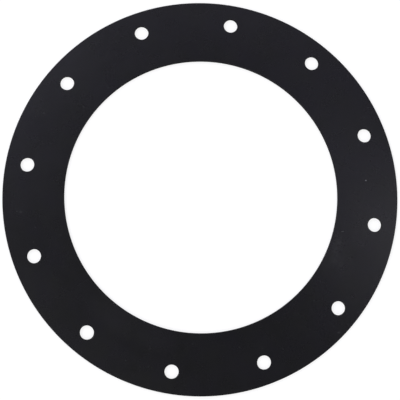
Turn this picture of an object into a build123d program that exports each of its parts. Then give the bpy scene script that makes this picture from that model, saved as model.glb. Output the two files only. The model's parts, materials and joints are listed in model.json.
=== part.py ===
"""Flat ring gasket, cut in one piece from thin rubber sheet.

The ring seals a round flange. Its wide bore clears the passage, and a circle of
evenly spaced holes near the rim lets the flange bolts through. The sheet lies flat
on its under face, with the origin at the centre of that face, +Z through the sheet
and +X through the middle of the first bolt hole.
"""

import os

from build123d import *

# Driving dimensions in millimetres, from the middle of the ring outwards
bore_diameter = 138.5
sealing_land = 16.45
bolt_hole_diameter = 7.0
rim_land = 7.3

bolt_hole_count = 12
sheet_thickness = 1.5

# The knife presses the upper face down a little before it cuts, which leaves the rim
# and the bore eased there. The under face lies on the cutting board and stays sharp.
cut_edge_radius = 0.15

# An eased edge never takes more than this share of the sheet
most_of_the_sheet = 0.4

# The lands carry the sizes outwards: the bolt holes keep their distance from the bore,
# and the outer rim keeps its distance from the bolt holes
bolt_circle_diameter = bore_diameter + 2 * sealing_land + bolt_hole_diameter
outer_diameter = bolt_circle_diameter + bolt_hole_diameter + 2 * rim_land
eased_edge = min(cut_edge_radius, most_of_the_sheet * sheet_thickness)

with BuildPart() as gasket:
    # The outline that the cutting die gives: rim, bore and bolt holes in one stroke
    with BuildSketch(Plane.XY) as outline:
        Circle(outer_diameter / 2)
        Circle(bore_diameter / 2, mode=Mode.SUBTRACT)
        with PolarLocations(bolt_circle_diameter / 2, bolt_hole_count):
            Circle(bolt_hole_diameter / 2, mode=Mode.SUBTRACT)
    extrude(amount=sheet_thickness)

    # The two widest circles of the upper face are its bore and its outer rim
    upper_face = gasket.faces().sort_by(Axis.Z)[-1]
    knife_cuts = upper_face.edges().sort_by(SortBy.RADIUS)[-2:]
    fillet(knife_cuts, radius=eased_edge)

gasket.part.label = "gasket"
os.makedirs("parts", exist_ok=True)
export_step(gasket.part, "parts/gasket.step")
print(f"outer {outer_diameter:.2f}, bolt circle {bolt_circle_diameter:.2f}, bore {bore_diameter:.2f} mm")
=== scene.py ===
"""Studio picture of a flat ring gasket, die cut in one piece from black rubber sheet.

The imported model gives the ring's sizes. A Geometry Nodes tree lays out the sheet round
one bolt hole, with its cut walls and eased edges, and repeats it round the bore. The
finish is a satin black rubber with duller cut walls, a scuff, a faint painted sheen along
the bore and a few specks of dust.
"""

import json
import logging
import math
from abc import ABC, abstractmethod
from dataclasses import dataclass
from enum import Enum
from typing import Any, ClassVar, TypeAlias

import bmesh
import bpy
from mathutils import Matrix, Vector

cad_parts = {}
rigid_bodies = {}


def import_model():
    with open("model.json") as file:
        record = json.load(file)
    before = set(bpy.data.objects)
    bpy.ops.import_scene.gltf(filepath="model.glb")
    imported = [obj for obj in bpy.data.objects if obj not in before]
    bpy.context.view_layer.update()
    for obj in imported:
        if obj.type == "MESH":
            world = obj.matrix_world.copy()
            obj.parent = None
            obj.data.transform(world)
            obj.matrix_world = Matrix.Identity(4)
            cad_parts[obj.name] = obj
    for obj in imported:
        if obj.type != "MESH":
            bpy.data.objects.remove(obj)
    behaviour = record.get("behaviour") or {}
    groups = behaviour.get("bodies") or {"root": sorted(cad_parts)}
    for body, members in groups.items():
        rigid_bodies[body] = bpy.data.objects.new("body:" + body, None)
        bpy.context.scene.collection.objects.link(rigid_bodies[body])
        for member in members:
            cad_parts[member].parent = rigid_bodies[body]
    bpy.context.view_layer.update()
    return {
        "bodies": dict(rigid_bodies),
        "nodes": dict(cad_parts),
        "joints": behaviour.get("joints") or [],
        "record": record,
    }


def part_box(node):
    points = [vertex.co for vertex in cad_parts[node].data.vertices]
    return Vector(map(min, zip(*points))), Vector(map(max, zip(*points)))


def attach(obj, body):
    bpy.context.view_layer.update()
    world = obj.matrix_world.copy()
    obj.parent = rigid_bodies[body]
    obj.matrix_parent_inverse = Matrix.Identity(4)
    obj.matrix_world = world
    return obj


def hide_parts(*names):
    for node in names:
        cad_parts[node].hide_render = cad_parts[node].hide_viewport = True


LOG = logging.getLogger("gasket")

MM = 0.001
WHITE = (1.0, 1.0, 1.0, 1.0)

# Watts for each square metre of an area lamp's face, at a radiance of 1.
WATTS_PER_RADIANCE = 4.0

# Places of the two colours and of their mixture among the sockets of a Mix node.
MIX_FIRST, MIX_SECOND, MIX_RESULT = 6, 7, 2

# The kind of socket that takes each type of value in a Geometry Nodes tree.
SOCKET_KINDS = {
    float: "NodeSocketFloat",
    int: "NodeSocketInt",
    bpy.types.Material: "NodeSocketMaterial",
}

Socket: TypeAlias = bpy.types.NodeSocket
Number: TypeAlias = "Value | float"
Colour: TypeAlias = tuple[float, float, float, float]


@dataclass(frozen=True)
class Value:
    """A number on one socket of a node tree, which takes part in Python expressions.

    Args:
        graph: The graph that the socket's node is in.
        socket: The output socket that carries the number.
    """

    graph: "Graph"
    socket: Socket

    def __add__(self, other: Number) -> "Value":
        """Return self + other."""
        return self.graph.math("ADD", self, other)

    def __radd__(self, other: Number) -> "Value":
        """Return other + self."""
        return self.graph.math("ADD", other, self)

    def __sub__(self, other: Number) -> "Value":
        """Return self - other."""
        return self.graph.math("SUBTRACT", self, other)

    def __rsub__(self, other: Number) -> "Value":
        """Return other - self."""
        return self.graph.math("SUBTRACT", other, self)

    def __mul__(self, other: Number) -> "Value":
        """Return self * other."""
        return self.graph.math("MULTIPLY", self, other)

    def __rmul__(self, other: Number) -> "Value":
        """Return other * self."""
        return self.graph.math("MULTIPLY", other, self)

    def __truediv__(self, other: Number) -> "Value":
        """Return self / other."""
        return self.graph.math("DIVIDE", self, other)

    def __rtruediv__(self, other: Number) -> "Value":
        """Return other / self."""
        return self.graph.math("DIVIDE", other, self)

    def sine(self) -> "Value":
        """Return the sine of this angle."""
        return self.graph.math("SINE", self)

    def cosine(self) -> "Value":
        """Return the cosine of this angle."""
        return self.graph.math("COSINE", self)

    def less_than(self, limit: float) -> "Value":
        """Return 1 where this number is less than a limit, and 0 elsewhere."""
        return self.graph.math("LESS_THAN", self, limit)

    def limited(self) -> "Value":
        """Return this number held between 0 and 1."""
        return self.graph.math("ADD", self, 0.0, clamp=True)

    def rise(self, start: float, end: float) -> "Value":
        """Return how far this number has come from a start to an end, from 0 to 1."""
        return ((self - start) * (1.0 / (end - start))).limited()

    def swing(self) -> "Value":
        """Return this number, which lies between 0 and 1, as one from -1 to 1."""
        return 2.0 * self - 1.0


class Graph:
    """Adds nodes to one node tree, of a material, a world or Geometry Nodes.

    Args:
        tree: The node tree to fill.
    """

    def __init__(self, tree: bpy.types.NodeTree) -> None:
        """Take the tree and empty it."""
        self.tree = tree
        tree.nodes.clear()

    def node(
        self, kind: str, sockets: dict[str | int, Any] | None = None, **settings: Any
    ) -> bpy.types.Node:
        """Add one node.

        Args:
            kind: The node's type, such as ShaderNodeTexNoise.
            sockets: Input sockets by name or number, each with a value or a link.
            **settings: Properties of the node, set before its sockets.

        Returns:
            The new node.
        """
        made = self.tree.nodes.new(kind)
        for name, setting in settings.items():
            setattr(made, name, setting)
        for name, given in (sockets or {}).items():
            source = given.socket if isinstance(given, Value) else given
            if isinstance(source, Socket):
                self.tree.links.new(source, made.inputs[name])
            else:
                made.inputs[name].default_value = source
        return made

    def math(
        self, operation: str, first: Number, second: Number = 0.0, clamp: bool = False
    ) -> Value:
        """Add one Math node.

        Args:
            operation: The node's operation.
            first: Its first number.
            second: Its second number, unused by operations on one number.
            clamp: Whether the result is held between 0 and 1.

        Returns:
            The node's result.
        """
        made = self.node(
            "ShaderNodeMath",
            {0: first, 1: second},
            operation=operation,
            use_clamp=clamp,
        )
        return self.value(made.outputs[0])

    def value(self, socket: Socket) -> Value:
        """Return a socket as a number for expressions."""
        return Value(self, socket)

    def coordinates(self, vector: Socket) -> tuple[Value, ...]:
        """Return a vector's x, y and z."""
        apart = self.node("ShaderNodeSeparateXYZ", {0: vector})
        return tuple(self.value(socket) for socket in apart.outputs)

    def length(self, vector: Socket) -> Value:
        """Return a vector's length."""
        made = self.node("ShaderNodeVectorMath", {0: vector}, operation="LENGTH")
        return self.value(made.outputs["Value"])

    def mix(self, factor: Number, first: Any, second: Any) -> Socket:
        """Mix two colours.

        Args:
            factor: The share of the second colour.
            first: A colour, or a link that carries one.
            second: A colour, or a link that carries one.

        Returns:
            The mixed colour's socket.
        """
        made = self.node(
            "ShaderNodeMix",
            {"Factor": factor, MIX_FIRST: first, MIX_SECOND: second},
            data_type="RGBA",
            blend_type="MIX",
        )
        return made.outputs[MIX_RESULT]


@dataclass(frozen=True)
class Noise:
    """A cloudy pattern at its real size.

    Args:
        size_mm: Rough size of its largest clouds.
        detail: How many finer patterns are laid over it.
        roughness: How strong the finer patterns are.
    """

    size_mm: float
    detail: float = 2.0
    roughness: float = 0.5

    def level(self, graph: Graph, place: Socket) -> Value:
        """Add the pattern to a material.

        Args:
            graph: The material's graph.
            place: The point's coordinates in metres.

        Returns:
            The pattern's level, from 0 to 1 and mostly near 0.5.
        """
        made = graph.node(
            "ShaderNodeTexNoise",
            {
                "Vector": place,
                "Scale": 1.0 / (self.size_mm * MM),
                "Detail": self.detail,
                "Roughness": self.roughness,
            },
            noise_dimensions="3D",
        )
        return graph.value(made.outputs["Fac"])


@dataclass(frozen=True)
class Mark:
    """A pale mark on the upper face, such as a speck of dust, a fibre or a patch of
    painted sheen.

    Args:
        x_mm: Its place along +X in millimetres.
        y_mm: Its place along +Y in millimetres.
        length_mm: Its length.
        width_mm: Its width.
        turn: Direction of its length in degrees from +X.
        strength: How much of it covers the rubber, from 0 to 1.
    """

    # Share of the way from a mark's middle to its edge at which it starts to fade.
    FADES_FROM: ClassVar[float] = 0.5

    x_mm: float
    y_mm: float
    length_mm: float
    width_mm: float
    turn: float
    strength: float

    def cover(self, graph: Graph, place: Socket) -> Value:
        """Return how far the mark covers each point.

        Args:
            graph: The material's graph.
            place: The point's object coordinates.

        Returns:
            The mark's strength at its middle, falling softly to 0 at its edge.
        """
        turned = graph.node(
            "ShaderNodeMapping",
            {
                "Vector": place,
                "Location": (self.x_mm * MM, self.y_mm * MM, 0.0),
                "Rotation": (0.0, 0.0, math.radians(self.turn)),
                "Scale": (self.length_mm / 2 * MM, self.width_mm / 2 * MM, 1.0),
            },
            vector_type="TEXTURE",
        )
        away = graph.length(turned.outputs[0])
        return self.strength * away.rise(1.0, self.FADES_FROM)


@dataclass(frozen=True)
class Scuff(Mark):
    """A patch where the sheet has rubbed against something, broken up into blotches.

    Args:
        blotch_mm: Size of its blotches.
    """

    # Levels of the blotches' noise between which the scuff sets in.
    SETS_IN: ClassVar[tuple[float, float]] = (0.40, 0.65)

    blotch_mm: float = 1.6

    def cover(self, graph: Graph, place: Socket) -> Value:
        """Return how far the scuff covers each point.

        Args:
            graph: The material's graph.
            place: The point's object coordinates.

        Returns:
            The strength of a plain mark, kept only where a noise is high.
        """
        blotches = Noise(self.blotch_mm, roughness=0.6).level(graph, place)
        return super().cover(graph, place) * blotches.rise(*self.SETS_IN)


@dataclass(frozen=True)
class FineDust:
    """Single grains of dust, scattered over the upper face.

    Args:
        apart_mm: Rough distance between two places for a grain.
        grain_mm: Radius of a grain.
        strength: How much of it covers the rubber, from 0 to 1.
        bare: Share of the places that hold no grain.
        edge: Where a grain's edge ends and where it begins, in radii from its middle.
    """

    apart_mm: float = 11.0
    grain_mm: float = 0.35
    strength: float = 0.035
    bare: float = 0.5
    edge: tuple[float, float] = (1.5, 0.5)

    def cover(self, graph: Graph, place: Socket) -> Value:
        """Return how far the grains cover each point.

        Args:
            graph: The material's graph.
            place: The point's object coordinates.

        Returns:
            A grain's strength at its middle, different from grain to grain.
        """
        cells = graph.node(
            "ShaderNodeTexVoronoi",
            {"Vector": place, "Scale": 1.0 / (self.apart_mm * MM), "Randomness": 1.0},
            voronoi_dimensions="2D",
            feature="F1",
        )
        away = graph.value(cells.outputs["Distance"]) * (self.apart_mm / self.grain_mm)
        apart = graph.node("ShaderNodeSeparateColor", {0: cells.outputs["Color"]})
        chosen = graph.value(apart.outputs["Red"]).rise(self.bare, 1.0)
        return self.strength * chosen * away.rise(*self.edge)


@dataclass(frozen=True)
class Finish(ABC):
    """A finish of the rubber.

    Args:
        name: The material's name.
        black: Colour of the rubber, linear.
        roughness: Mean roughness.
    """

    name: str
    black: Colour
    roughness: float

    def material(self) -> bpy.types.Material:
        """Build the finish.

        Returns:
            A material with procedural colour, roughness and relief.
        """
        made = bpy.data.materials.new(self.name)
        made.use_nodes = True
        graph = Graph(made.node_tree)
        place = graph.node("ShaderNodeTexCoord").outputs["Object"]
        look, height = self._surface(graph, place)
        bump = graph.node(
            "ShaderNodeBump", {"Strength": 1.0, "Distance": 1.0, "Height": height}
        )
        look["Normal"] = bump.outputs["Normal"]
        shader = graph.node("ShaderNodeBsdfPrincipled", look)
        graph.node("ShaderNodeOutputMaterial", {"Surface": shader.outputs["BSDF"]})
        return made

    @abstractmethod
    def _surface(self, graph: Graph, place: Socket) -> tuple[dict[str, Any], Value]:
        """Say how the surface looks at each point.

        Args:
            graph: The material's graph.
            place: The point's object coordinates.

        Returns:
            The shader's sockets with their values or links, and the relief's height
            in metres.
        """


@dataclass(frozen=True)
class SheetFinish(Finish):
    """Satin black rubber, as the calender leaves both faces of the sheet.

    Args:
        faded: Colour that the rubber drifts to in broad patches and in fine spots.
        bloom: Colour of the faint waxy bloom that lies on it in patches.
        bloom_cover: How much of the bloom's colour shows where it is thickest.
        bloom_sets_in: Levels of the patches' noise between which the bloom sets in.
        dust: Colour of dust, which the painted sheen along the bore also uses.
        drift: The broad patches.
        spots: The fine spots.
        patches: The bloom's patches.
        mottle: The unevenness from spot to spot.
        grain: The fine grain.
        slack: The sheet's unevenness as it lies.
        spot_fading: How far the fine spots drift, beside the broad patches.
        roughness_drift: How far the roughness drifts in broad patches.
        roughness_mottle: How far it changes from spot to spot.
        dust_and_sheen_roughness: What full cover by dust and by the painted sheen adds to
            it.
        grain_height: Depth of the fine grain in metres.
        mottle_height: Depth of the unevenness from spot to spot in metres.
        slack_height: How far the sheet lies unevenly, in metres.
        scuffs: Where the sheet has rubbed, beside the bore.
        painted_sheens: Faint paler patches along the bore, a painted sheen.
        specks: Specks of dust and fibres.
        fine_dust: The grains of dust between them.
        marks_above: Heights between which all these set in, so that the under face
            is clean.
    """

    name: str = "black_rubber_sheet"
    black: Colour = (0.0077, 0.0078, 0.0084, 1.0)
    roughness: float = 0.275
    faded: Colour = (0.0102, 0.0102, 0.0109, 1.0)
    bloom: Colour = (0.0090, 0.0087, 0.0111, 1.0)
    bloom_cover: float = 0.85
    bloom_sets_in: tuple[float, float] = (0.35, 0.65)
    # Colour of dust; the painted sheen along the bore is painted in it too.
    dust: Colour = (0.30, 0.30, 0.31, 1.0)
    drift: Noise = Noise(32.0)
    spots: Noise = Noise(3.0, roughness=0.6)
    patches: Noise = Noise(13.0)
    mottle: Noise = Noise(9.0, detail=3.0)
    grain: Noise = Noise(0.35, detail=1.0)
    slack: Noise = Noise(45.0, detail=1.0)
    spot_fading: float = 0.75
    roughness_drift: float = 0.02
    roughness_mottle: float = 0.015
    dust_and_sheen_roughness: float = 0.3
    grain_height: float = 0.0004 * MM
    mottle_height: float = 0.04 * MM
    slack_height: float = 0.25 * MM

    # Each mark has its x, y, length and width in millimetres, its turn and its
    # strength, and the last scuff has finer blotches.
    scuffs: tuple[Scuff, ...] = (
        Scuff(75.5, -19.0, 30.0, 12.0, -70.0, 0.012),
        Scuff(71.6, -15.5, 24.0, 5.5, -93.0, 0.018),
        Scuff(73.6, -21.5, 7.5, 6.0, 0.0, 0.030, blotch_mm=1.1),
    )
    # Painted sheen: faint paler patches along the bore that stand in for light on the
    # rubber.
    painted_sheens: tuple[Mark, ...] = (
        Mark(-23.0, -69.5, 54.0, 20.0, -18.0, 0.008),
        Mark(69.3, -18.5, 24.0, 7.0, -105.0, 0.010),
    )
    specks: tuple[Mark, ...] = (
        Mark(81.4, 21.7, 0.85, 0.75, 0.0, 0.55),
        Mark(73.5, -6.1, 1.7, 0.5, 12.0, 0.14),
        Mark(-89.7, -24.1, 1.0, 1.0, 0.0, 0.045),
        Mark(-87.8, -24.0, 1.6, 1.4, 0.0, 0.06),
        Mark(79.2, -56.5, 1.9, 1.2, 10.0, 0.06),
        Mark(-85.8, 27.4, 1.4, 1.0, 10.0, 0.04),
    )
    fine_dust: FineDust = FineDust()
    marks_above: tuple[float, float] = (1.0 * MM, 1.1 * MM)

    def _surface(self, graph: Graph, place: Socket) -> tuple[dict[str, Any], Value]:
        """Say how the sheet looks at each point.

        Args:
            graph: The material's graph.
            place: The point's object coordinates.

        Returns:
            The shader's sockets with their links, and the relief's height in metres.
        """
        drift = self.drift.level(graph, place)
        mottle = self.mottle.level(graph, place)
        dust_and_sheen = self._dust_and_sheen(graph, place)
        fading = drift + self.spot_fading * self.spots.level(graph, place).swing()
        plain = graph.mix(fading.limited(), self.black, self.faded)
        bloomed = self.patches.level(graph, place).rise(*self.bloom_sets_in)
        clean = graph.mix(self.bloom_cover * bloomed, plain, self.bloom)
        roughness = (
            self.roughness
            + self.roughness_drift * drift.swing()
            + self.roughness_mottle * mottle.swing()
            + self.dust_and_sheen_roughness * dust_and_sheen
        )
        height = (
            self.slack_height * self.slack.level(graph, place)
            + self.mottle_height * mottle
            + self.grain_height * self.grain.level(graph, place)
        )
        # The dust colour is laid over the rubber where dust lies, and as a painted sheen
        # along the bore.
        colour = graph.mix(dust_and_sheen, clean, self.dust)
        return {"Base Color": colour, "Roughness": roughness}, height

    def _dust_and_sheen(self, graph: Graph, place: Socket) -> Value:
        """Return how far dust and the painted sheen along the bore cover each point.

        Args:
            graph: The material's graph.
            place: The point's object coordinates.

        Returns:
            The cover of all marks and of the fine dust together, from 0 to 1.
        """
        total = self.fine_dust.cover(graph, place)
        for mark in (*self.scuffs, *self.painted_sheens, *self.specks):
            total = total + mark.cover(graph, place)
        height = graph.coordinates(place)[2]
        return (total * height.rise(*self.marks_above)).limited()


@dataclass(frozen=True)
class CutFinish(Finish):
    """Dull walls that the die leaves at the rim, the bore and the bolt holes.

    Args:
        streaked: Colour of the drag lines that the die leaves.
        specular: The shader's specular level, low because the cut is torn and dull.
        drag: The pattern that is drawn out into the drag lines.
        squash: What the upright coordinate is multiplied by, which draws it out.
        drag_height: Depth of the drag lines in metres.
        roughness_drift: How far the roughness changes from line to line.
    """

    name: str = "black_rubber_cut"
    black: Colour = (0.0060, 0.0060, 0.0064, 1.0)
    roughness: float = 0.85
    streaked: Colour = (0.0095, 0.0094, 0.0100, 1.0)
    specular: float = 0.12
    drag: Noise = Noise(0.3)
    squash: float = 0.12
    drag_height: float = 0.012 * MM
    roughness_drift: float = 0.05

    def _surface(self, graph: Graph, place: Socket) -> tuple[dict[str, Any], Value]:
        """Say how the cut walls look at each point.

        Args:
            graph: The material's graph.
            place: The point's object coordinates.

        Returns:
            The shader's sockets with their values or links, and the relief's height
            in metres.
        """
        upright = graph.node(
            "ShaderNodeMapping", {"Vector": place, "Scale": (1.0, 1.0, self.squash)}
        )
        drag = self.drag.level(graph, upright.outputs[0])
        look = {
            "Base Color": graph.mix(drag, self.black, self.streaked),
            "Roughness": self.roughness + self.roughness_drift * drag.swing(),
            "Specular IOR Level": self.specular,
        }
        return look, self.drag_height * drag


class Zone(Enum):
    """The two kinds of surface that a die-cut sheet has."""

    SHEET = "sheet"
    CUT = "cut"


class Wall(Enum):
    """The ring's two round walls, and which way an eased edge draws back from each."""

    RIM = -1.0
    BORE = 1.0


@dataclass(frozen=True)
class RingSizes:
    """The ring's sizes in metres.

    Args:
        outer: Radius of the outer rim.
        bore: Radius of the bore.
        bolt_circle: Radius of the circle through the bolt holes' centres.
        bolt_hole: Radius of a bolt hole.
        bolt_holes: How many bolt holes there are.
        thickness: Thickness of the sheet.
    """

    outer: float
    bore: float
    bolt_circle: float
    bolt_hole: float
    bolt_holes: int
    thickness: float

    @classmethod
    def from_frame(cls, frame: dict[str, Any], node: str) -> "RingSizes":
        """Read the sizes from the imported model.

        Args:
            node: The ring's node.

        Returns:
            The sizes. The outer radius is the least of the box's reaches, so that the
            ring stays inside the box.
        """
        low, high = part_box(node)
        mounts = {mount["name"]: mount["dims"] for mount in frame["record"]["mounts"]}
        bolts = mounts["bolt_holes"]
        return cls(
            outer=min(-low.x, -low.y, high.x, high.y),
            bore=mounts["bore"]["r_mm"] * MM,
            bolt_circle=bolts["pcd_mm"] / 2 * MM,
            bolt_hole=bolts["hole_r_mm"] * MM,
            bolt_holes=bolts["count"],
            thickness=high.z - low.z,
        )


class SectorLayout:
    """Formulas for the sheet round one bolt hole, on the +X side of the ring.

    A walk round the hole has four sides: out at the rim, back along one straight cut
    between two holes, in at the bore and out along the other cut. A place on the walk
    is a number from 0 to 4, of which each side takes 1.
    """

    SIDES: ClassVar[int] = 4

    def __init__(self, graph: Graph, sizes: dict[str, Value]) -> None:
        """Work out the directions in which the hole sees the sector's corners.

        Args:
            graph: The graph that the formulas are added to.
            sizes: The tree's inputs by name.
        """
        self.graph = graph
        self.sizes = sizes
        self.half_turn = math.pi / sizes["Bolt Holes"]
        self.rim_corner = self._corner_direction(sizes["Outer Radius"])
        self.bore_corner = self._corner_direction(sizes["Bore Radius"])

    def _corner_direction(self, radius: Value) -> Value:
        """Return the direction of the sector's corner at a radius.

        Args:
            radius: The corner's distance from the ring's axis.

        Returns:
            The angle at the hole's centre between +X and the corner.
        """
        across = radius * self.half_turn.sine()
        along = radius * self.half_turn.cosine() - self.sizes["Bolt Circle Radius"]
        return self.graph.math("ARCTAN2", across, along)

    def _sides(self, walk: Value) -> list[Value]:
        """Return how much of each side is walked, from 0 to 1."""
        return [(walk - float(side)).limited() for side in range(self.SIDES)]

    def border(self, walk: Value, rim: Value, bore: Value) -> tuple[Value, Value]:
        """Follow the sector's border.

        Args:
            walk: Where on the walk.
            rim: Radius of the border's outer arc.
            bore: Radius of its inner arc.

        Returns:
            The x and y of the border's point.
        """
        first, second, third, fourth = self._sides(walk)
        turn = self.half_turn * (2.0 * (first - third) - 1.0)
        radius = rim + (bore - rim) * (second - fourth)
        return radius * turn.cosine(), radius * turn.sine()

    def hole(self, walk: Value, radius: Value) -> tuple[Value, Value]:
        """Follow the bolt hole's edge.

        Args:
            walk: Where on the walk.
            radius: The edge's radius.

        Returns:
            The x and y of the edge's point.
        """
        first, second, third, fourth = self._sides(walk)
        between = self.bore_corner - self.rim_corner
        facing_bore = 2.0 * (math.pi - self.bore_corner)
        turn = (
            self.rim_corner * first.swing()
            + between * (second + fourth)
            + facing_bore * third
        )
        x = self.sizes["Bolt Circle Radius"] + radius * turn.cosine()
        return x, radius * turn.sine()

    def arc(self, share: Value, radius: Value) -> tuple[Value, Value]:
        """Follow an arc round the bore's axis from one cut to the other.

        Args:
            share: How much of the arc is walked, from 0 to 1.
            radius: The arc's radius.

        Returns:
            The x and y of the arc's point.
        """
        turn = self.half_turn * share.swing()
        return radius * turn.cosine(), radius * turn.sine()


@dataclass
class SheetRing:
    """The gasket itself: one closed solid of rubber sheet.

    Args:
        sizes: The ring's sizes.
        rim_ease: Radius of the eased upper edge at the rim and the bore.
        hole_ease: Radius of the eased upper edge of a bolt hole.
        side_steps: Faces along each side of the walk round a hole.
        sheet_steps: Faces from a hole to the border of its sector.
        ease_steps: Faces across an eased edge.
        seam: How near two points lie that are sewn into one.
        faces: Finish of the sheet's two faces and of its eased edges.
        walls: Finish of the cut walls.
    """

    sizes: RingSizes
    rim_ease: float = 0.15 * MM
    hole_ease: float = 0.06 * MM
    side_steps: int = 20
    sheet_steps: int = 6
    ease_steps: int = 4
    seam: float = 0.002 * MM
    faces: SheetFinish = SheetFinish()
    walls: CutFinish = CutFinish()

    def build(self) -> bpy.types.Object:
        """Make the ring and dress it.

        Returns:
            The ring's object at the origin, with a plain mesh and no modifier.
        """
        inputs = self._inputs()
        tree = self._tree(inputs)
        carrier = bpy.data.objects.new("gasket_carrier", bpy.data.meshes.new("carrier"))
        bpy.context.scene.collection.objects.link(carrier)
        modifier = carrier.modifiers.new("ring", "NODES")
        modifier.node_group = tree
        for name, value in inputs.items():
            modifier[tree.interface.items_tree[name].identifier] = value
        depsgraph = bpy.context.evaluated_depsgraph_get()
        mesh = bpy.data.meshes.new_from_object(
            carrier.evaluated_get(depsgraph), depsgraph=depsgraph
        )
        carrier.modifiers.remove(modifier)
        bpy.data.objects.remove(carrier)
        self._turn_faces_outwards(mesh)
        mesh.name = "gasket_sheet"
        ring = bpy.data.objects.new("gasket_sheet", mesh)
        bpy.context.scene.collection.objects.link(ring)
        return ring

    def _inputs(self) -> dict[str, Any]:
        """Name the tree's inputs and build the two materials among them.

        Returns:
            The value of each input by its name.
        """
        return {
            "Outer Radius": self.sizes.outer,
            "Bore Radius": self.sizes.bore,
            "Bolt Circle Radius": self.sizes.bolt_circle,
            "Bolt Hole Radius": self.sizes.bolt_hole,
            "Bolt Holes": self.sizes.bolt_holes,
            "Thickness": self.sizes.thickness,
            "Rim Ease": self.rim_ease,
            "Hole Ease": self.hole_ease,
            "Face Material": self.faces.material(),
            "Wall Material": self.walls.material(),
        }

    def _tree(self, inputs: dict[str, Any]) -> bpy.types.NodeTree:
        """Build the tree that lays out one sector and repeats it.

        Args:
            inputs: The value of each of the tree's inputs by its name.

        Returns:
            The Geometry Nodes tree.
        """
        tree = bpy.data.node_groups.new("punched_ring", "GeometryNodeTree")
        for name, value in inputs.items():
            kind = SOCKET_KINDS[type(value)]
            tree.interface.new_socket(name, in_out="INPUT", socket_type=kind)
        tree.interface.new_socket(
            "Geometry", in_out="OUTPUT", socket_type="NodeSocketGeometry"
        )
        graph = Graph(tree)
        given = graph.node("NodeGroupInput").outputs
        sizes = {
            name: graph.value(given[name])
            for name, value in inputs.items()
            if isinstance(value, (float, int))
        }
        sector = self._sector(graph, SectorLayout(graph, sizes))
        turned = self._repeat(graph, sector, sizes["Bolt Holes"])
        real = graph.node("GeometryNodeRealizeInstances", {"Geometry": turned})
        sewn = graph.node(
            "GeometryNodeMergeByDistance",
            {"Geometry": real.outputs[0], "Distance": self.seam},
        )
        dressed = self._dress(
            graph, sewn.outputs[0], given["Face Material"], given["Wall Material"]
        )
        graph.node("NodeGroupOutput", {"Geometry": dressed})
        return tree

    def _sector(self, graph: Graph, layout: SectorLayout) -> Socket:
        """Lay out the sheet and its cut walls round one bolt hole.

        Args:
            graph: The tree's graph.
            layout: The sector's formulas.

        Returns:
            The sector's geometry, open where it meets its neighbours.
        """
        sizes = layout.sizes
        joined = graph.node("GeometryNodeJoinGeometry")
        for part in (
            self._arc_wall(graph, layout, sizes["Bore Radius"], Wall.BORE),
            self._arc_wall(graph, layout, sizes["Outer Radius"], Wall.RIM),
            self._hole_wall(graph, layout),
            self._under_sheet(graph, layout),
            self._upper_sheet(graph, layout),
        ):
            graph.tree.links.new(part, joined.inputs[0])
        return joined.outputs[0]

    @staticmethod
    def _repeat(graph: Graph, sector: Socket, count: Value) -> Socket:
        """Place one copy of the sector at each bolt hole.

        Args:
            graph: The tree's graph.
            sector: The sector's geometry.
            count: How many copies go round.

        Returns:
            The instances.
        """
        index = graph.value(graph.node("GeometryNodeInputIndex").outputs[0])
        points = graph.node(
            "GeometryNodePoints", {"Count": count, "Position": (0.0, 0.0, 0.0)}
        )
        turn = graph.node(
            "ShaderNodeCombineXYZ", {"Z": index * (2.0 * math.pi / count)}
        )
        placed = graph.node(
            "GeometryNodeInstanceOnPoints",
            {
                "Points": points.outputs[0],
                "Instance": sector,
                "Rotation": turn.outputs[0],
            },
        )
        return placed.outputs[0]

    @staticmethod
    def _dress(graph: Graph, ring: Socket, faces: Socket, walls: Socket) -> Socket:
        """Give the sheet's faces and the cut walls their materials.

        Args:
            graph: The tree's graph.
            ring: The whole ring's geometry.
            faces: The material of the faces and the eased edges.
            walls: The material of the cut walls.

        Returns:
            The dressed geometry.
        """
        plain = graph.node(
            "GeometryNodeSetMaterial", {"Geometry": ring, "Material": faces}
        )
        cut = graph.node(
            "GeometryNodeInputNamedAttribute",
            {"Name": Zone.CUT.value},
            data_type="BOOLEAN",
        )
        dressed = graph.node(
            "GeometryNodeSetMaterial",
            {
                "Geometry": plain.outputs[0],
                "Selection": cut.outputs["Attribute"],
                "Material": walls,
            },
        )
        return dressed.outputs[0]

    @staticmethod
    def _patch(
        graph: Graph, steps: tuple[int, int], zone: Zone
    ) -> tuple[Socket, Value, Value]:
        """Add a plain grid that a formula will shape.

        Args:
            graph: The tree's graph.
            steps: Faces along its two ways.
            zone: The kind of surface that it becomes. On a cut wall, the first row of
                faces is marked as cut and the others are its eased edge.

        Returns:
            The grid's geometry, and each point's two shares, from 0 to 1.
        """
        grid = graph.node(
            "GeometryNodeMeshGrid",
            {"Vertices X": steps[0] + 1, "Vertices Y": steps[1] + 1},
        )
        smooth = graph.node(
            "GeometryNodeSetShadeSmooth",
            {"Geometry": grid.outputs[0], "Shade Smooth": zone is Zone.CUT},
            domain="FACE",
        )
        x, y, _ = graph.coordinates(graph.node("GeometryNodeInputPosition").outputs[0])
        along = x + 0.5
        across = y + 0.5
        marked = graph.node(
            "GeometryNodeStoreNamedAttribute",
            {
                "Geometry": smooth.outputs[0],
                "Name": Zone.CUT.value,
                "Value": across.less_than(1.0 / steps[1]) if zone is Zone.CUT else False,
            },
            data_type="BOOLEAN",
            domain="FACE",
        )
        return marked.outputs[0], along, across

    @staticmethod
    def _shape(graph: Graph, grid: Socket, x: Value, y: Value, z: Number) -> Socket:
        """Move a grid's points to where the formulas say.

        Args:
            graph: The tree's graph.
            grid: The grid's geometry.
            x: Each point's x.
            y: Each point's y.
            z: Each point's z.

        Returns:
            The shaped geometry.
        """
        target = graph.node("ShaderNodeCombineXYZ", {"X": x, "Y": y, "Z": z})
        moved = graph.node(
            "GeometryNodeSetPosition",
            {"Geometry": grid, "Position": target.outputs[0]},
        )
        return moved.outputs[0]

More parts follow.
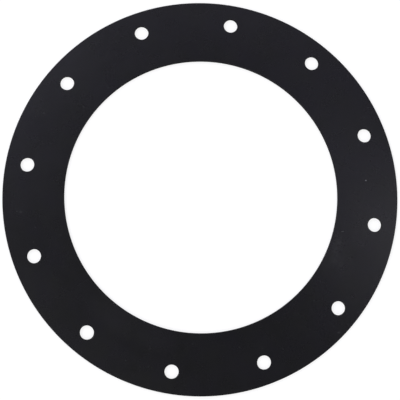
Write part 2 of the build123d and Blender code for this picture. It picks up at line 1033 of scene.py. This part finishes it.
    def _sheet(
        self,
        graph: Graph,
        layout: SectorLayout,
        edges: tuple[Value, Value, Value],
        height: Number,
    ) -> Socket:
        """Lay one face of the sheet between a bolt hole and its sector's border.

        Args:
            graph: The tree's graph.
            layout: The sector's formulas.
            edges: Radii at which the face ends, at the hole, the rim and the bore.
            height: The face's z.

        Returns:
            The face's geometry.
        """
        hole_edge, rim_edge, bore_edge = edges
        round_steps = layout.SIDES * self.side_steps
        grid, along, across = self._patch(
            graph, (round_steps, self.sheet_steps), Zone.SHEET
        )
        walk = along * float(layout.SIDES)
        hole_x, hole_y = layout.hole(walk, hole_edge)
        border_x, border_y = layout.border(walk, rim_edge, bore_edge)
        x = hole_x + across * (border_x - hole_x)
        y = hole_y + across * (border_y - hole_y)
        return self._shape(graph, grid, x, y, height)

    def _upper_sheet(self, graph: Graph, layout: SectorLayout) -> Socket:
        """Lay the upper face, which ends where the eased edges begin.

        Args:
            graph: The tree's graph.
            layout: The sector's formulas.

        Returns:
            The face's geometry.
        """
        sizes = layout.sizes
        edges = (
            sizes["Bolt Hole Radius"] + sizes["Hole Ease"],
            sizes["Outer Radius"] - sizes["Rim Ease"],
            sizes["Bore Radius"] + sizes["Rim Ease"],
        )
        return self._sheet(graph, layout, edges, sizes["Thickness"])

    def _under_sheet(self, graph: Graph, layout: SectorLayout) -> Socket:
        """Lay the under face, which reaches the cut walls.

        Args:
            graph: The tree's graph.
            layout: The sector's formulas.

        Returns:
            The face's geometry.
        """
        sizes = layout.sizes
        edges = (sizes["Bolt Hole Radius"], sizes["Outer Radius"], sizes["Bore Radius"])
        return self._sheet(graph, layout, edges, 0.0)

    def _wall_section(
        self, across: Value, thickness: Value, ease: Value
    ) -> tuple[Value, Value]:
        """Follow a cut wall from the under face up and over its eased edge.

        Args:
            across: How much of the section is walked, from 0 to 1.
            thickness: The sheet's thickness.
            ease: Radius of the eased edge.

        Returns:
            How far the section has drawn back from the wall, and its height.
        """
        straight = 1.0 / (self.ease_steps + 1)
        up = (across / straight).limited()
        over = ((across - straight) / (1.0 - straight)).limited() * (math.pi / 2)
        back = ease * (1.0 - over.cosine())
        height = (thickness - ease) * up + ease * over.sine()
        return back, height

    def _hole_wall(self, graph: Graph, layout: SectorLayout) -> Socket:
        """Raise the wall of the bolt hole, with its eased edge.

        Args:
            graph: The tree's graph.
            layout: The sector's formulas.

        Returns:
            The wall's geometry.
        """
        sizes = layout.sizes
        round_steps = layout.SIDES * self.side_steps
        grid, along, across = self._patch(
            graph, (round_steps, self.ease_steps + 1), Zone.CUT
        )
        back, height = self._wall_section(
            across, sizes["Thickness"], sizes["Hole Ease"]
        )
        walk = along * float(layout.SIDES)
        x, y = layout.hole(walk, sizes["Bolt Hole Radius"] + back)
        return self._shape(graph, grid, x, y, height)

    def _arc_wall(
        self, graph: Graph, layout: SectorLayout, radius: Value, wall: Wall
    ) -> Socket:
        """Raise a sector's share of the rim's or the bore's wall.

        Args:
            graph: The tree's graph.
            layout: The sector's formulas.
            radius: The wall's radius.
            wall: Which of the two walls it is.

        Returns:
            The wall's geometry.
        """
        sizes = layout.sizes
        grid, along, across = self._patch(
            graph, (self.side_steps, self.ease_steps + 1), Zone.CUT
        )
        back, height = self._wall_section(across, sizes["Thickness"], sizes["Rim Ease"])
        x, y = layout.arc(along, radius + wall.value * back)
        return self._shape(graph, grid, x, y, height)

    @staticmethod
    def _turn_faces_outwards(mesh: bpy.types.Mesh) -> None:
        """Point every face of the ring outwards.

        Args:
            mesh: The ring's closed mesh.
        """
        shell = bmesh.new()
        shell.from_mesh(mesh)
        bmesh.ops.recalc_face_normals(shell, faces=shell.faces)
        shell.to_mesh(mesh)
        shell.free()


@dataclass(frozen=True)
class Softbox:
    """A square area lamp that faces the ring's middle.

    Args:
        name: The lamp's name.
        azimuth: Direction of the lamp in degrees from the first bolt hole, +X.
        height_angle: Its angle above the floor in degrees.
        side: Length of its side in metres.
        radiance: How bright its face is, where a lit white wall has 1.
        colour: Colour of its light, linear.
        distance: Its distance from the ring's middle in metres.
    """

    name: str
    azimuth: float
    height_angle: float
    side: float
    radiance: float
    colour: tuple[float, float, float] = (1.0, 1.0, 1.0)
    distance: float = 1.5

    def build(self) -> None:
        """Add the lamp to the scene."""
        data = bpy.data.lights.new(self.name, "AREA")
        data.shape = "SQUARE"
        data.size = self.side
        data.energy = self.radiance * WATTS_PER_RADIANCE * self.side**2
        data.color = self.colour
        turn, rise = math.radians(self.azimuth), math.radians(self.height_angle)
        flat = math.cos(rise)
        away = Vector((math.cos(turn) * flat, math.sin(turn) * flat, math.sin(rise)))
        lamp = bpy.data.objects.new(self.name, data)
        lamp.location = away * self.distance
        lamp.rotation_mode = "QUATERNION"
        lamp.rotation_quaternion = (-away).to_track_quat("-Z", "Y")
        bpy.context.scene.collection.objects.link(lamp)


@dataclass(frozen=True)
class PhotoCamera:
    """The camera at the photograph's place, nearly straight above the ring.

    Args:
        lens_mm: Focal length for the sensor's width.
        sensor_mm: Width of the sensor.
        distance: From the lens to the ring's middle along the view, in metres.
        right: How far the ring's middle lies right of the view's middle, in metres.
        above: How far it lies above the view's middle, in metres.
        nod: Turn of the ring about the picture's horizontal, in degrees.
        sway: Turn of the ring about the picture's upright, in degrees.
        spin: Turn of the first bolt hole from the picture's right, in degrees.
        nearest: Nearest distance that is shown, in metres.
        farthest: Farthest distance that is shown, in metres.
    """

    lens_mm: float = 70.95
    sensor_mm: float = 36.0
    distance: float = 0.400
    right: float = 0.85 * MM
    above: float = 2.44 * MM
    nod: float = -5.70
    sway: float = 2.25
    spin: float = -9.88
    nearest: float = 0.01
    farthest: float = 20.0

    def build(self) -> None:
        """Add the camera and make it the scene's own."""
        data = bpy.data.cameras.new("photo_camera")
        data.lens = self.lens_mm
        data.sensor_width = self.sensor_mm
        data.clip_start = self.nearest
        data.clip_end = self.farthest
        seen = (
            Matrix.Translation((self.right, self.above, -self.distance))
            @ Matrix.Rotation(math.radians(self.sway), 4, "Y")
            @ Matrix.Rotation(math.radians(self.nod), 4, "X")
            @ Matrix.Rotation(math.radians(self.spin), 4, "Z")
        )
        camera = bpy.data.objects.new("photo_camera", data)
        camera.matrix_world = seen.inverted()
        bpy.context.scene.collection.objects.link(camera)
        bpy.context.scene.camera = camera


@dataclass
class Studio:
    """The white floor, the light and the camera.

    Args:
        camera: The camera to build.
        softboxes: The lamps to build.
        floor_side: Side of the square floor in metres.
        floor_glow: What the floor adds for the camera alone, so that it shows white.
        floor_white: Diffuse colour of the floor.
        floor_dims: Distances from the ring's middle in metres between which the lamps
            light the floor less and less, so that its glow takes over.
        sky_strength: Strength of the sky's pale band as a light.
        sky_low: Share of it that is left near the horizon.
        sky_brightens: Heights, as a direction's z, between which the band sets in.
        sky_darkens: Heights between which it ends, so that it is dark overhead.
        sky_underneath: Strength of the light that comes from below the floor.
        sky_sinks: Heights between which that light takes over.
        floor_gap: How far the floor lies under the ring, so that the two don't mix.
        open_under: Length under which light from the ring passes through the floor,
            so that the under face is lit when it is looked at from below.
    """

    camera: PhotoCamera = PhotoCamera()

    # Each lamp has its azimuth, its angle above the floor, its side and its radiance,
    # and where they aren't the usual ones its colour and its distance.
    softboxes: tuple[Softbox, ...] = (
        Softbox("right_softbox", 14.0, 67.0, 0.2, 1.25, (1.0, 0.98, 1.11), 1.2),
        Softbox("high_softbox", 45.0, 74.0, 0.15, 0.54, (1.0, 0.97, 1.35), 1.2),
        Softbox("left_softbox", 151.0, 46.0, 1.0, 1.55, (1.0, 0.99, 1.24)),
        Softbox("far_softbox", 81.0, 44.0, 1.0, 0.52, (1.0, 0.94, 1.28)),
        Softbox("near_softbox", 236.0, 46.0, 1.2, 1.30),
    )
    floor_side: float = 60.0
    floor_glow: float = 0.80
    floor_white: float = 0.25
    floor_dims: tuple[float, float] = (0.35, 0.70)
    sky_strength: float = 1.25
    sky_low: float = 0.2
    sky_brightens: tuple[float, float] = (0.34, 0.54)
    sky_darkens: tuple[float, float] = (0.85, 0.62)
    sky_underneath: float = 0.5
    sky_sinks: tuple[float, float] = (0.0, -0.2)
    floor_gap: float = 0.05 * MM
    open_under: float = 1.0 * MM

    def build(self) -> None:
        """Add floor, world, lamps and camera, and set the plain view transform."""
        self._build_floor()
        self._build_world()
        for softbox in self.softboxes:
            softbox.build()
            LOG.info("lamp %s", softbox.name)
        self.camera.build()
        bpy.context.scene.view_settings.view_transform = "Standard"

    def _build_floor(self) -> None:
        """Add the floor that the gasket lies on."""
        half = self.floor_side / 2
        corners = ((-half, -half), (half, -half), (half, half), (-half, half))
        mesh = bpy.data.meshes.new("studio_floor")
        mesh.from_pydata([(x, y, -self.floor_gap) for x, y in corners], [], [range(4)])
        mesh.materials.append(self._floor_material())
        floor = bpy.data.objects.new("studio_floor", mesh)
        bpy.context.scene.collection.objects.link(floor)

    def _floor_material(self) -> bpy.types.Material:
        """Build the floor's paper, white to the camera and clear from below.

        Returns:
            The floor's material.
        """
        material = bpy.data.materials.new("white_floor")
        material.use_nodes = True
        graph = Graph(material.node_tree)
        grey = (self.floor_white, self.floor_white, self.floor_white, 1.0)
        paper = graph.node("ShaderNodeBsdfDiffuse", {"Color": grey})
        path = graph.node("ShaderNodeLightPath").outputs
        seen = graph.value(path["Is Camera Ray"])
        away = graph.length(graph.node("ShaderNodeTexCoord").outputs["Object"])
        white = self.floor_glow + (1.0 - self.floor_glow) * away.rise(*self.floor_dims)
        glow = graph.node("ShaderNodeEmission", {"Color": WHITE, "Strength": white * seen})
        both = graph.node("ShaderNodeAddShader", {0: paper.outputs[0], 1: glow.outputs[0]})
        below = graph.value(graph.node("ShaderNodeNewGeometry").outputs["Backfacing"])
        close = graph.value(path["Ray Length"]).less_than(self.open_under)
        clear = graph.node("ShaderNodeBsdfTransparent")
        shown = graph.node(
            "ShaderNodeMixShader",
            {0: (below + close).limited(), 1: both.outputs[0], 2: clear.outputs[0]},
        )
        graph.node("ShaderNodeOutputMaterial", {"Surface": shown.outputs[0]})
        return material

    def _build_world(self) -> None:
        """Make the world white for the camera, and a pale band as a light."""
        world = bpy.data.worlds.new("studio_world")
        world.use_nodes = True
        bpy.context.scene.world = world
        graph = Graph(world.node_tree)
        seen = graph.value(graph.node("ShaderNodeLightPath").outputs["Is Camera Ray"])
        direction = graph.node("ShaderNodeTexCoord").outputs["Generated"]
        height = graph.coordinates(direction)[2]
        band = self.sky_low + (1.0 - self.sky_low) * height.rise(*self.sky_brightens)
        above = self.sky_strength * band * height.rise(*self.sky_darkens)
        under = height.rise(*self.sky_sinks)
        light = above * (1.0 - under) + self.sky_underneath * under
        strength = light + seen * (1.0 - light)
        sky = graph.node("ShaderNodeBackground", {"Color": WHITE, "Strength": strength})
        graph.node("ShaderNodeOutputWorld", {"Surface": sky.outputs[0]})


def main() -> None:
    """Load the frame, then build the ring and the studio round it."""
    logging.basicConfig(level=logging.INFO, format="%(message)s")
    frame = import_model()
    ring = SheetRing(RingSizes.from_frame(frame, "gasket")).build()
    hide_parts("gasket")
    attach(ring, "root")
    LOG.info("piece %s: %d faces", ring.name, len(ring.data.polygons))
    Studio().build()


if __name__ == "__main__":
    main()
